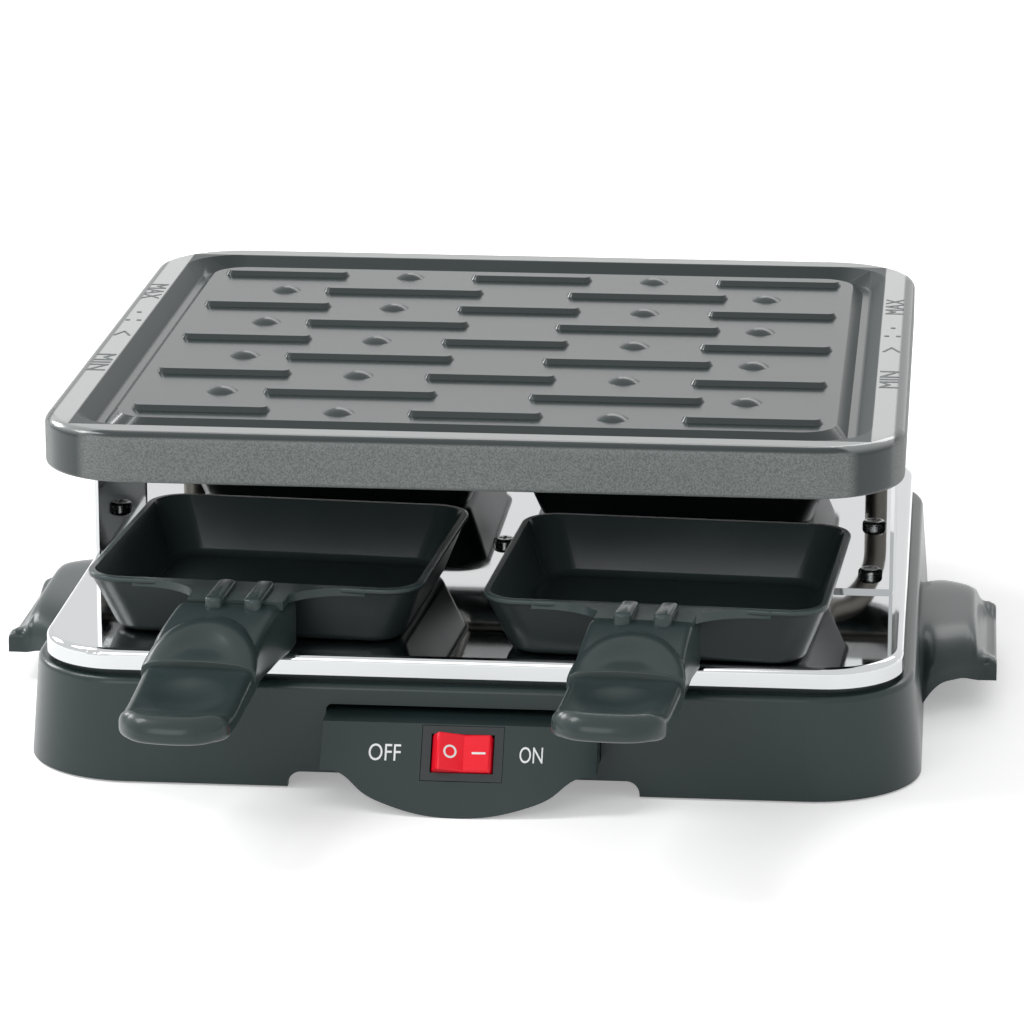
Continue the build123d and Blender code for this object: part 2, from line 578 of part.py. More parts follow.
def handle_dome():
    """The half-round cushion behind the crease, crowned across."""
    crease_y, slope_l = -pan_d / 2 - crease_l, crease_l - neck_flat
    lean = Vector(0, slope_l, crease_drop - tongue_t)
    rear = Pos(0, dome_reach / 2) * Rectangle(2 * dome_half, dome_reach)
    half_oval = Ellipse(dome_half, dome_reach) & rear
    prism = extrude(Pos(0, crease_y, pan_z - neck_low_drop) * half_oval, amount=neck_low_drop)
    crown = Plane((0, crease_y, pan_z - crease_drop + dome_rise), x_dir=(1, 0, 0), z_dir=lean)
    axis = crown * Pos(0, dome_crown_r, 0)
    dome = prism & (axis * Cylinder(dome_crown_r, 4 * dome_reach))
    rim = dome.edges().filter_by(GeomType.LINE, reverse=True)
    rim = rim.filter_by(lambda e: e.center().Z > pan_z - crease_drop and e.center().Y > crease_y + dome_round)
    return fillet(rim, dome_round)


def make_pan_handle():
    body = extrude(Plane.YZ * handle_side_view(), amount=handle_end_half, both=True) & handle_plan()
    body += handle_dome()
    y, low, seat = -pan_d / 2 - handle_screw_l, pan_z - neck_low_drop, 2 * handle_screw_h
    body -= rod(0, y, low, pan_z, handle_shank_r)
    return body - rod(0, y, low, low + seat, handle_screw_r + handle_screw_gap)


def make_pan_screw():
    y, low = -pan_d / 2 - handle_screw_l, pan_z - neck_low_drop + handle_screw_h
    head = rod(0, y, low, low + handle_screw_h, handle_screw_r) - cross(0, y, low, low + cross_depth)
    return head + rod(0, y, low + handle_screw_h, pan_z - tongue_t + handle_shank_in, handle_shank_r)


def make_gland():
    sleeve = Cylinder(gland_r, gland_l) + Pos(0, 0, gland_l / 2) * Cylinder(gland_flange_r, gland_flange_t)
    for z in row(2, 2 * gland_groove * gland_flange_t):
        groove = Cylinder(gland_flange_r, gland_groove) - Cylinder(gland_r, gland_groove)
        sleeve -= Pos(0, 0, gland_l / 2 + z) * groove
    sleeve -= Cylinder(gland_bore_r, gland_l * 3)
    return Pos(gland_x, (base_d - gland_l) / 2 + wall, gland_z) * Rot(-90, 0, 0) * sleeve


def make_terminal_block():
    low, half_w, half_d = cover_z + cover_t, block_w / 2, block_d / 2
    body = block(block_x - half_w, block_x + half_w, block_y - half_d, block_y + half_d, low, low + block_h)
    for x in row(block_poles, block_pole_pitch):
        body -= rod(block_x + x, block_y, low + block_h / 2, low + block_h, block_pole_r)
    return body


def make_block_screws():
    low = cover_z + cover_t + block_h / 2
    screws = Part()
    for x in row(block_poles, block_pole_pitch):
        screws += rod(block_x + x, block_y, low, low + block_h / 3, block_pole_r)
    return screws


def make_cutoff():
    top, half_w = shoulder_z - deck_t, cutoff_ear_w / 2
    body = rod(cutoff_x, cutoff_y, top - cutoff_h, top, cutoff_r)
    ear_x = (cutoff_x - cutoff_ear_l, cutoff_x + cutoff_ear_l)
    return body + block(*ear_x, cutoff_y - half_w, cutoff_y + half_w, top - cutoff_ear_t, top)


def make_clamp():
    y, low, half_w = base_d / 2 - wall - gland_l - clamp_d, cover_z + cover_t, clamp_w / 2
    body = block(gland_x - half_w, gland_x + half_w, y - clamp_d / 2, y + clamp_d / 2, low, low + clamp_h)
    return body - Pos(gland_x, y, gland_z) * Rot(90, 0, 0) * Cylinder(gland_bore_r, clamp_d)


def make_wires():
    block_top, turn_y = cover_z + cover_t + block_h, base_d / 2 - wire_turn_in
    front_y = wire_front_in - base_d / 2
    tab_end = on_face(0, bezel_v, -switch_depth - tab_l - wire_r).position
    left_tab, right_tab = bezel_u - tab_pitch, bezel_u + tab_pitch
    pin_y, pin_z = leg_y - pin_r - wire_r / 2, leg_low - pin_l / 2
    first, last = block_x - block_pole_pitch, block_x + block_pole_pitch
    to_pin = [(first, block_y, block_top), (first, block_y, wire_z), (first, turn_y, wire_z)]
    to_pin += [(-leg_x, turn_y, wire_z), (-leg_x, pin_y, pin_z)]
    to_switch = [(last, block_y, block_top), (last, block_y, wire_z), (last, turn_y, wire_z)]
    to_switch += [(left_tab, turn_y, wire_z), (left_tab, front_y, wire_z), (left_tab, tab_end.Y, tab_end.Z)]
    cutoff_front = cutoff_y - cutoff_r
    to_cutoff = [(right_tab, tab_end.Y, tab_end.Z), (right_tab, front_y, wire_z)]
    to_cutoff += [(right_tab, cutoff_front - wire_cutoff_l, wire_z)]
    to_cutoff += [(cutoff_x, cutoff_front - wire_cutoff_l, wire_z), (cutoff_x, cutoff_front, wire_z)]
    from_cutoff = [(cutoff_x + cutoff_r, cutoff_y, wire_z), (leg_x, cutoff_y, wire_z), (leg_x, pin_y, pin_z)]
    wires = Part()
    for route in (to_pin, to_switch, to_cutoff, from_cutoff):
        wires += bent_tube(route, wire_bend, wire_r)
    return wires


def pan_spots():
    """For each pan: its middle, its turn and how far its handle is tipped up."""
    half_w, half_d = pan_w / 2, pan_d / 2
    return {
        "front_left": (front_left_x - half_w, front_left_y - half_d, front_left_turn, level_tip),
        "front_right": (front_right_x + half_w, front_right_y - half_d, front_right_turn, front_right_tip),
        "rear_left": (rear_left_x - half_w, rear_left_y + half_d, rear_turn, level_tip),
        "rear_right": (rear_right_x + half_w, rear_right_y + half_d, rear_turn, level_tip),
    }


def save(name, shape):
    os.makedirs("parts", exist_ok=True)
    export_step(shape, f"parts/{name}.step")


def save_pair(name, shape):
    save(f"{name}_right", shape)
    save(f"{name}_left", mirror(shape, about=Plane.YZ))


def main():
    save("base_housing", make_housing())
    save("control_panel", make_panel())
    save("bottom_cover", make_cover())
    save("rubber_feet", make_feet())
    save("cover_screws", make_cover_screws())
    save("switch_body", make_switch_body())
    save("switch_rocker", make_rocker())
    save("switch_tabs", make_tabs())
    save_pair("side_handle", make_grip())
    save("tray", make_tray())
    save_pair("bracket", make_bracket())
    save("tray_screws", make_tray_screws())
    save("heating_element", make_element())
    save("element_bushes", make_bushes())
    save("element_pins", make_element_pins())
    save("element_rack", make_rack())
    save("grill_plate", make_plate())
    handle, screw = make_pan_handle(), make_pan_screw()
    for side, (x, y, turn, tip) in pan_spots().items():
        spot = Pos(x, y, 0) * Rot(0, 0, turn)
        save(f"pan_{side}", spot * make_pan(tip))
        save(f"pan_handle_{side}", spot * tip_up(handle, tip))
        save(f"pan_screw_{side}", spot * tip_up(screw, tip))
    save("cable_gland", make_gland())
    save("cord_clamp", make_clamp())
    save("terminal_block", make_terminal_block())
    save("block_screws", make_block_screws())
    save("thermal_cutoff", make_cutoff())
    save("wires", make_wires())


main()
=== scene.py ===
import json
from math import cos, hypot, pi, radians, sin, sqrt

import bmesh
import bpy
from mathutils import Matrix, Vector


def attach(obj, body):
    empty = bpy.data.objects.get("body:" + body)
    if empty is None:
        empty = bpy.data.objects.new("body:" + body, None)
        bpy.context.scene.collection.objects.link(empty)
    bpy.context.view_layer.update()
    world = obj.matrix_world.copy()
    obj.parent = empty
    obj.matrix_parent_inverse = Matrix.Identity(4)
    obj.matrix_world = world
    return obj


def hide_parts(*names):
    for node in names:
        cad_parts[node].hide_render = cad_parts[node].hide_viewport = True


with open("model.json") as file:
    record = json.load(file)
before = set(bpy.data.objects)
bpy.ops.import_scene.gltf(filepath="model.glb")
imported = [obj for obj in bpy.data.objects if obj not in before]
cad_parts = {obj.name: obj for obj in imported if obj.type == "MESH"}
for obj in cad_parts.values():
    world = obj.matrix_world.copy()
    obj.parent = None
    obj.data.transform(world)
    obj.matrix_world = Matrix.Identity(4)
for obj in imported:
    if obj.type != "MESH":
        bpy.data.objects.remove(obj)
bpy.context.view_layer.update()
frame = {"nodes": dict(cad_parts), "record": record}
scene = bpy.context.scene
mm = 0.001

# camera, from the photograph: focal length in pixels of a picture 1024 pixels wide and high
picture_px = 1024
focal_px, sensor_mm = 4756.3, 36.0
camera_azimuth, camera_height = 5.42, 15.35
camera_distance = 1335.6 * mm
camera_target = Vector((1.94, 0.0, 44.62)) * mm
near_clip, far_clip = 0.05, 50.0

# studio, in metres and watts: each lamp's name, place, width and height, and power
lamps = (
    ("key", (-0.95, -0.1, 1.2), (0.45, 0.6), 8.0),
    ("left", (-1.15, 0.7, 0.72), (0.5, 0.4), 7.0),
    ("front", (-0.5, -1.6, 0.8), (1.0, 0.8), 6.0),
    ("rear", (0.3, 1.4, 1.1), (1.4, 0.5), 5.0),
)
lamp_aim = (0.0, 0.0, 0.05)
world_light, world_seen = 0.66, 1.0
floor_reach, floor_glow = 8.0, 150

# angles in degrees past which an edge stays sharp, and how near points are merged or lie on a cut, in metres
sharp_edge, sharp_handle, sharp_soft = 38.0, 62.0, 50.0
merge_reach, cut_reach = 1e-6, 1e-7

# pans: the middle of each, its turn, how far its handle is tipped up and bent aside at crease and end
pan_places = {
    "front_left": (-54.5, -60.5, -3.9, 0.0, 4.4, 3.6),
    "front_right": (51.0, -71.0, -3.3, 5.8, 1.2, 1.4),
    "rear_left": (-53.0, 71.6, 180.0, 0.0, 0.0, 0.0),
    "rear_right": (46.5, 60.5, 180.0, 0.0, 0.0, 0.0),
}
pan_front, pan_top = -43.0, 52.0

# pan handle, in millimetres before the pan's rim and below its top
handle_start, handle_end = 3.0, 79.6
handle_half, handle_end_half, handle_corner = 14.15, 14.2, 8.5
handle_nose, nose_line = 29.6, 60.0
handle_top = (
    (3.0, 2.25), (14.8, 2.25), (15.7, 0.95), (16.8, 0.8), (18.5, 1.35), (24.0, 4.0), (32.0, 8.0),
    (39.5, 11.3), (45.0, 12.4), (54.0, 13.5), (62.0, 14.1), (67.0, 14.2), (71.0, 13.4), (75.0, 12.6),
    (79.6, 12.9),
)
handle_low = (
    (3.0, 15.9), (15.0, 15.9), (22.0, 17.5), (40.0, 19.2), (58.0, 19.8), (72.0, 19.6), (79.6, 19.1),
)
side_round, end_round, low_round, end_round_lines = 2.2, 4.4, 1.7, (66.0, 78.0)
neck_in, neck_line = 0.8, 17.0
handle_rows, handle_row_power = (33, 75, 9), 1.6
bend_lines, straight_line = (8.0, 30.0), 70.0
screw_line, screw_r, screw_depth, screw_sides = 9.5, 3.35, 3.2, 48

# thumb hollow of the handle's pad
dish_middle, dish_reach, dish_half, dish_depth, dish_power = 54.5, 12.0, 10.5, 1.8, 1.4

# cushion behind the handle's crease: its size, its rolled edge and the hollow on it
crease_line, crease_drop, neck_fall = 39.5, 11.3, 0.40
dome_half, dome_reach, dome_rise, dome_crown, dome_sink = 14.9, 18.2, 3.7, 1.0, 3.0
dome_roll, dome_fade, fade_reach = 0.66, 0.45, 0.7
dome_dish, dome_dish_in, dome_dish_reach = 1.5, 0.34, 0.5
dome_sides = 96
dome_insets = (0.003, 0.009, 0.018, 0.03, 0.04, 0.05, 0.05, 0.05, 0.06, 0.07, 0.08, 0.1, 0.12, 0.14)
arch_round, arch_angle, arch_room = 0.35, 110.0, 1.0

# ridges on a pan's tongue
rib_start, rib_length, rib_width, rib_height, rib_x = 0.6, 18.6, 4.7, 1.7, 5.1
rib_corner, rib_edge, rib_sink_share = 1.9, 0.9, 0.2

# side grips: where the rows lie across, the top's height there, the half lengths and the wall's place
grip_rows = (
    (0.0, 116.5), (0.10, 118.4), (0.26, 122.5), (0.42, 129.6), (0.62, 133.0), (0.94, 137.6), (1.0, 138.2),
)
grip_top = (
    (116.5, 21.0), (124.0, 21.4), (129.6, 21.3), (131.4, 20.7), (132.5, 19.3), (133.0, 17.8), (133.8, 15.8),
    (135.2, 13.4), (136.8, 12.1), (137.6, 11.7), (138.2, 11.0),
)
grip_half, grip_end_half, grip_taper = 38.0, 29.3, (119.0, 135.0)
grip_wall, grip_low, grip_root, root_reach, root_power = 118.2, 9.6, 3.6, 7.0, 2.2
lip_reach, lip_drop, lip_drop_reach = (131.0, 137.0), 1.4, (128.0, 134.0)
grip_ear, ear_reach, ear_side = 2.3, (133.2, 136.5), (17.0, 27.5)
hood_square, lip_square, grip_lean, grip_crown = 3.4, 6.0, 0.7, 0.3
grip_cells = (47, 61, 7)
grip_sizes = {"right": (1.0, 1.0, 1.0), "left": (-0.99, 0.96, 1.0)}

# hollows under a side grip
pocket_spans = ((-28.5, -14.9), (-13.1, 13.1), (14.9, 28.5))
pocket_x, pocket_z, pocket_w, pocket_h, pocket_round, pocket_round_z = 124.4, 8.2, 10.6, 16.0, 1.2, 10.0

# rounding of a softened CAD node: which edges, what counts as flat, and faces so large stay flat
soft_angle, flat_angle, flat_face = 40.0, 0.5, 12.0
panel_soft, rocker_soft = 0.45, 0.55

# control panel: its face leans back, marks lie on it across and down from its top edge
panel_edge, panel_lean = (0.0, -121.5, 21.0), 33.0
off_box, on_box, print_thick, print_lift = (-23.2, -14.9, 5.7, 10.2), (15.8, 21.8, 5.5, 9.8), 0.12, 0.02

# rocker: its place on the panel, its tilt and the slope of its halves, its marks along it and above its pivot
rocker_place, rocker_pivot, rocker_turn, rocker_slope = (1.0, 7.8), 2.0, 9.0, 12.68
ring_size, ring_sides, ring_x, ring_z = (1.75, 1.25, 0.1), 40, -3.6, 3.71
dash_size, dash_x, dash_z = (3.6, 0.55, 0.12), 3.8, 3.78

# marks on the plate's rim: words and strokes, with their places along the rim
rim_top, rim_mark_x, rim_mark_lift = 94.1, 107.2, 0.03
rim_word_size, rim_words = (19.0, 5.2, 0.1), (("min", -36.0), ("max", 52.0))
arrow_size, arrow_y, arrow_half, arrow_angle = (5.6, 0.7, 0.1), -1.5, 1.1, 24.0
dot_size, dot_pair_y, dot_pair_half, dot_y = (1.4, 1.4, 0.1), 15.0, 1.6, 25.0

# plate's finishes and the rim's painted reflection: distances from its middle and heights between which one
# gives way to the next, in metres
band_edge, band_top = (0.1085, 0.1105), (0.0924, 0.0932)
rim_inner, rim_outer, rim_height = (0.1036, 0.1041), (0.1092, 0.1100), (0.0920, 0.0936)
moat_outer, moat_height = (0.0990, 0.0997), (0.0890, 0.0900)
long_side_reach = 0.012


class Wire:
    """A socket of a material, which can take part in plain sums."""

    def __init__(self, look, socket):
        self.look, self.socket = look, socket

    def math(self, kind, *values):
        return self.look.add("ShaderNodeMath", {"operation": kind}, dict(enumerate(values)))

    def __add__(self, other):
        return self.math("ADD", self, other)

    def __sub__(self, other):
        return self.math("SUBTRACT", self, other)

    def __rsub__(self, other):
        return self.math("SUBTRACT", other, self)

    def __mul__(self, other):
        return self.math("MULTIPLY", self, other)

    def __abs__(self):
        return self.math("ABSOLUTE", self)

    def most(self, other):
        return self.math("MAXIMUM", self, other)

    def spread(self, amount):
        """A noise of 0 to 1 as an amount to either side of nothing."""
        return (self - 0.5) * amount

    __radd__, __rmul__ = __add__, __mul__


class Look:
    """One procedural material, built node by node."""

    def __init__(self, name):
        self.material = bpy.data.materials.new(name)
        self.material.use_nodes = True
        self.tree = self.material.node_tree
        self.shader = self.tree.nodes["Principled BSDF"]
        self.place = self.add("ShaderNodeTexCoord", output="Object")

    def join(self, socket, value):
        if isinstance(value, Wire):
            self.tree.links.new(value.socket, socket)
        else:
            socket.default_value = value

    def add(self, kind, settings=None, sockets=None, output=0):
        node = self.tree.nodes.new(kind)
        for key, value in (settings or {}).items():
            setattr(node, key, value)
        for key, value in (sockets or {}).items():
            self.join(node.inputs[key], value)
        return Wire(self, node.outputs[output])

    def set(self, **values):
        for name, value in values.items():
            self.join(self.shader.inputs[name.replace("_", " ")], value)

    def noise(self, scale, detail=2.0, rough=0.5):
        sockets = {"Vector": self.place, "Scale": scale, "Detail": detail, "Roughness": rough}
        return self.add("ShaderNodeTexNoise", None, sockets)

    def mix(self, share, first, second):
        """A colour that goes from the first to the second as the share goes from 0 to 1."""
        # a Mix node for colours has its factor at socket 0, its colours at 6 and 7 and its result at 2
        return self.add("ShaderNodeMix", {"data_type": "RGBA"}, {0: share, 6: first, 7: second}, output=2)

    def step(self, value, low, high):
        """0 below low, 1 above high, and smooth between them."""
        sockets = {"Value": value, "From Min": low, "From Max": high}
        return self.add("ShaderNodeMapRange", {"interpolation_type": "SMOOTHSTEP"}, sockets)

    def axes(self):
        return [self.add("ShaderNodeSeparateXYZ", None, {0: self.place}, output=k) for k in range(3)]

    def bump(self, height, depth, strength=1.0):
        sockets = {"Height": height, "Distance": depth, "Strength": strength}
        self.set(Normal=self.add("ShaderNodeBump", None, sockets))


def grey(red, green=None, blue=None):
    """A colour from sRGB values of 0 to 255, as they look on a screen."""
    green, blue = red if green is None else green, red if blue is None else blue
    shares = [v / 255 for v in (red, green, blue)]
    return [((s + 0.055) / 1.055) ** 2.4 if s > 0.04045 else s / 12.92 for s in shares] + [1.0]


def moulded_plastic(name, low, high, rough, grain, depth, shine=0.4, coat=0.0):
    look = Look(name)
    fine, broad = look.noise(grain, detail=3.0, rough=0.6), look.noise(28.0, detail=3.0)
    look.set(Base_Color=look.mix(broad, low, high), Specular_IOR_Level=shine)
    look.set(Roughness=rough + fine.spread(0.06) + broad.spread(0.10))
    look.set(Coat_Weight=coat, Coat_Roughness=0.16)
    look.bump(fine, depth)
    return look.material


def glossy_plastic(name, low, high, rough=0.16, coat=0.3):
    look = Look(name)
    broad, fine = look.noise(55.0, detail=3.0), look.noise(1500.0)
    look.set(Base_Color=look.mix(broad, low, high), Roughness=rough + broad.spread(0.06))
    look.set(Coat_Weight=coat, Specular_IOR_Level=0.35)
    look.bump(fine, depth=0.00001)
    return look.material


def dull_steel(name, low, high, rough):
    look = Look(name)
    broad, fine = look.noise(40.0, detail=4.0), look.noise(900.0)
    look.set(Metallic=1.0, Base_Color=look.mix(broad, low, high), Roughness=rough + fine.spread(0.2))
    look.bump(fine, depth=0.00002)
    return look.material


def bright_steel(name):
    """Mirror-bright sheet, a little duller where it is smeared."""
    polished, smeared = 0.035, 0.05
    look = Look(name)
    broad, smear = look.noise(9.0), look.noise(60.0, detail=4.0, rough=0.6)
    look.set(Metallic=1.0, Base_Color=look.mix(broad, grey(200, 203, 204), grey(208, 210, 211)))
    look.set(Roughness=polished + look.step(smear, low=0.52, high=0.75) * smeared)
    look.bump(broad, depth=0.00001, strength=0.3)
    return look.material


def coated_casting(name):
    """The grill plate: a sandy band round its side, a flat rim painted pale grey as a painted reflection, and
    a dark, glossy coating inside.
    """
    gloss_rough, sand_rough, slope_rough = 0.20, 0.34, 0.30
    rim_coat, long_rim_coat, inner_coat = 0.35, 0.65, 0.12
    speck_share, ripple_share = 0.4, 0.05
    look = Look(name)
    x, y, z = look.axes()
    out = abs(x).most(abs(y))
    sand = look.noise(2600.0, detail=3.0, rough=0.7)
    specks, broad, ripple = look.noise(5200.0), look.noise(16.0, detail=3.0), look.noise(700.0)
    side = look.step(out, *band_edge) * (1.0 - look.step(z, *band_top))
    within = look.step(out, *rim_inner)
    rim = within * (1.0 - look.step(out, *rim_outer)) * look.step(z, *rim_height)
    slope = look.step(out, *moat_outer) * (1.0 - within) * look.step(z, *moat_height)
    band = look.mix(look.step(sand, low=0.35, high=0.65), grey(90, 95, 94), grey(122, 127, 125))
    band = look.mix(look.step(specks, low=0.62, high=0.72) * speck_share, band, grey(164, 168, 166))
    top = look.mix(broad, grey(34, 43, 43), grey(46, 55, 55))
    # painted reflection: the flat rim takes a pale grey in place of the dark coating, standing in for the
    # sheen it shows
    top = look.mix(rim, top, grey(118, 123, 122))
    look.set(Base_Color=look.mix(side, top, band), Specular_IOR_Level=0.36)
    look.set(Roughness=gloss_rough + broad.spread(0.06) + side * sand_rough + slope * slope_rough)
    long_side = look.step(abs(x) - abs(y), -long_side_reach, long_side_reach)
    inside = (1.0 - side) * (1.0 - slope) * (1.0 - rim)
    look.set(Coat_Weight=rim * (rim_coat + long_side * long_rim_coat) + inside * inner_coat)
    look.set(Coat_Roughness=0.1, Coat_IOR=1.8)
    look.bump(sand * side + ripple * (1.0 - side) * ripple_share, depth=0.0001, strength=0.6)
    return look.material


def pan_coating(name):
    """The pans: a dark grey-green coating, glossier where it faces up, with painted light and shade: paler
    where it faces up, darker where it faces down.
    """
    outer_rough, inner_gloss = 0.32, 0.12
    look = Look(name)
    fine, broad = look.noise(1800.0, detail=3.0, rough=0.6), look.noise(30.0, detail=3.0)
    facing = look.add("ShaderNodeNewGeometry", output="Normal")
    up = look.add("ShaderNodeSeparateXYZ", None, {0: facing}, output=2)
    # painted light and shade: surfaces that face up take the paler colour below and surfaces that face down
    # the darker one
    inside = look.step(up, low=-0.15, high=0.1)
    dark = look.mix(broad, grey(27, 35, 35), grey(35, 43, 43))
    pale = look.mix(broad, grey(54, 66, 66), grey(64, 76, 76))
    look.set(Base_Color=look.mix(inside, dark, pale), Specular_IOR_Level=0.3)
    look.set(Roughness=outer_rough - inside * inner_gloss + broad.spread(0.12) + fine.spread(0.08))
    look.bump(fine, depth=0.00001)
    return look.material


def make_materials():
    # name, darker and paler colour, roughness, scale and depth in metres of the grain, shine, coat
    moulded = (
        ("base_plastic", grey(33, 46, 46), grey(42, 55, 55), 0.3, 1500.0, 0.000012, 0.3, 0.12),
        ("cover_plastic", grey(40, 42, 42), grey(50, 52, 52), 0.5, 900.0, 0.00006),
        ("handle_plastic", grey(42, 53, 53), grey(50, 61, 61), 0.34, 1500.0, 0.000008, 0.16, 0.32),
        ("feet", grey(28), grey(38), 0.75, 700.0, 0.0001, 0.2),
        ("gland_rubber", grey(34), grey(44), 0.65, 900.0, 0.00008, 0.2),
        ("wire_sleeve", grey(200, 194, 180), grey(222, 216, 204), 0.8, 3000.0, 0.0002, 0.2),
        ("white_print", grey(226, 230, 230), grey(238, 240, 240), 0.5, 1500.0, 0.00001),
        ("rim_print", grey(84, 90, 90), grey(96, 102, 102), 0.5, 1500.0, 0.00001),
    )
    # name, darker and paler colour, roughness, coat
    glossy = (
        ("ceramic", grey(216, 212, 200), grey(232, 228, 218)),
        ("switch_black", grey(34, 40, 41), grey(42, 48, 49), 0.22),
        ("switch_red", grey(242, 6, 34), grey(250, 14, 42), 0.2, 0.1),
    )
    # name, darker and paler colour, roughness
    metals = (
        ("brass_tabs", grey(200, 170, 96), grey(214, 186, 116), 0.3),
        ("steel_screws", grey(150, 152, 152), grey(182, 184, 184), 0.25),
        ("element_steel", grey(86, 84, 80), grey(116, 112, 106), 0.45),
    )
    kinds = ((moulded_plastic, moulded), (glossy_plastic, glossy), (dull_steel, metals))
    materials = {row[0]: make(*row) for make, rows in kinds for row in rows}
    materials["bright_steel"] = bright_steel("bright_steel")
    materials["coated_casting"] = coated_casting("coated_casting")
    materials["pan_enamel"] = pan_coating("pan_enamel")
    return materials


def dress_nodes(materials):
    """Each CAD node takes the material of its slot in the record."""
    for subpart in frame["record"]["subparts"]:
        node = frame["nodes"][subpart["node"]]
        node.data.materials.clear()
        node.data.materials.append(materials[subpart["material_slot"]])


def make_camera():
    azimuth, height = radians(camera_azimuth), radians(camera_height)
    back = Vector((sin(azimuth) * cos(height), -cos(azimuth) * cos(height), sin(height)))
    right = Vector((cos(azimuth), sin(azimuth), 0.0))
    turn = Matrix((right, back.cross(right), back)).transposed().to_4x4()
    data = bpy.data.cameras.new("camera")
    data.sensor_width = sensor_mm
    data.lens = focal_px / picture_px * sensor_mm
    data.clip_start, data.clip_end = near_clip, far_clip
    camera = bpy.data.objects.new("camera", data)
    camera.matrix_world = Matrix.Translation(camera_target + back * camera_distance) @ turn
    scene.collection.objects.link(camera)
    scene.camera = camera


def make_lamp(name, place, size, power):
    data = bpy.data.lights.new(name, "AREA")
    data.shape, data.size, data.size_y = "RECTANGLE", size[0], size[1]
    data.energy = power
    lamp = bpy.data.objects.new(name, data)
    lamp.location = place
    lamp.rotation_euler = (Vector(lamp_aim) - Vector(place)).to_track_quat("-Z", "Y").to_euler()
    scene.collection.objects.link(lamp)


def pale_rays(nodes, links):
    """1 for the rays that see the white background: from the camera, off gloss and through glass."""
    path = nodes.new("ShaderNodeLightPath")
    seen = path.outputs["Is Camera Ray"]
    for name in ("Is Glossy Ray", "Is Transmission Ray"):
        either = nodes.new("ShaderNodeMath")
        either.operation = "MAXIMUM"
        links.new(seen, either.inputs[0])
        links.new(path.outputs[name], either.inputs[1])
        seen = either.outputs[0]
    return seen


def make_studio():
    world = bpy.data.worlds.new("studio")
    scene.world = world
    world.use_nodes = True
    nodes, links = world.node_tree.nodes, world.node_tree.links
    background = nodes["Background"]
    strength = nodes.new("ShaderNodeMapRange")
    strength.inputs["To Min"].default_value = world_light
    strength.inputs["To Max"].default_value = world_seen
    links.new(pale_rays(nodes, links), strength.inputs["Value"])
    links.new(strength.outputs[0], background.inputs["Strength"])
    background.inputs["Color"].default_value = grey(255)
    for lamp in lamps:
        make_lamp(*lamp)


def make_floor():
    bm = bmesh.new()
    bmesh.ops.create_grid(bm, x_segments=1, y_segments=1, size=floor_reach)
    mesh = bpy.data.meshes.new("floor")
    bm.to_mesh(mesh)
    bm.free()
    floor = bpy.data.objects.new("floor", mesh)
    scene.collection.objects.link(floor)
    look = Look("floor")
    paint = look.mix(look.noise(6.0), grey(248), grey(255))
    look.set(Base_Color=paint, Roughness=0.9, Specular_IOR_Level=0.0)
    seen = Wire(look, pale_rays(look.tree.nodes, look.tree.links))
    look.set(Emission_Color=look.mix(seen, grey(0), grey(floor_glow)), Emission_Strength=1.0)
    mesh.materials.append(look.material)


def smooth(value, low, high):
    share = min(max((value - low) / (high - low), 0.0), 1.0)
    return share * share * (3.0 - 2.0 * share)


def along(line, spot):
    """The height at a spot of a smooth curve through a line of points."""
    k = max([j for j, point in enumerate(line[:-1]) if point[0] <= spot] or [0])
    (x0, y0), (x1, y1) = line[k], line[k + 1]
    before, after = line[max(k - 1, 0)], line[min(k + 2, len(line) - 1)]
    slope0, slope1 = (y1 - before[1]) / (x1 - before[0]), (after[1] - y0) / (after[0] - x0)
    s, length = (spot - x0) / (x1 - x0), x1 - x0
    start, end = (1 + 2 * s) * (1 - s) ** 2, s * s * (3 - 2 * s)
    return start * y0 + end * y1 + length * (s * (1 - s) ** 2 * slope0 + s * s * (s - 1) * slope1)


def round_off(edge, radius):
    """How far a quarter-round edge falls back at a distance from that edge."""
    return radius - sqrt(max(radius * radius - (radius - min(edge, radius)) ** 2, 0.0))


def to_mesh(bm, name):
    mesh = bpy.data.meshes.new(name)
    bmesh.ops.recalc_face_normals(bm, faces=bm.faces)
    bm.to_mesh(mesh)
    bm.free()
    return mesh


def add_piece(name, mesh, material, body, sharp=sharp_edge):
    mesh.materials.clear()
    mesh.materials.append(material)
    mesh.shade_smooth()
    mesh.set_sharp_from_angle(angle=radians(sharp))
    piece = bpy.data.objects.new(name, mesh)
    scene.collection.objects.link(piece)
    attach(piece, body)
    return piece


def joined(body, *steps):
    """A mesh with others added to it or cut from it, each step an operation and a mesh."""
    shapes = [bpy.data.objects.new("shape", mesh) for mesh in (body, *(mesh for _, mesh in steps))]
    for shape in shapes:
        scene.collection.objects.link(shape)
    for (operation, _), tool in zip(steps, shapes[1:]):
        change = shapes[0].modifiers.new(operation.lower(), "BOOLEAN")
        change.operation, change.object, change.solver = operation, tool, "EXACT"
    ready = shapes[0].evaluated_get(bpy.context.evaluated_depsgraph_get())
    made = bpy.data.meshes.new_from_object(ready)
    for shape in shapes:
        bpy.data.objects.remove(shape)
    return made


def add_block(bm, size, middle=(0.0, 0.0, 0.0)):
    """A block by its size and middle, in millimetres."""
    verts = bmesh.ops.create_cube(bm, size=1.0)["verts"]
    bmesh.ops.scale(bm, verts=verts, vec=Vector(size) * mm)
    bmesh.ops.translate(bm, verts=verts, vec=Vector(middle) * mm)


def round_edges(bm, edges, offset, segments=3, **options):
    """Rounds edges by an offset in millimetres."""
    options.update(segments=segments, profile=0.5, affect="EDGES", material=-1)
    bmesh.ops.bevel(bm, geom=edges, offset=offset * mm, **options)


def upright_edges(bm, least):
    """The edges that rise by more than this many millimetres."""
    return [e for e in bm.edges if abs(e.verts[0].co.z - e.verts[1].co.z) > least * mm]


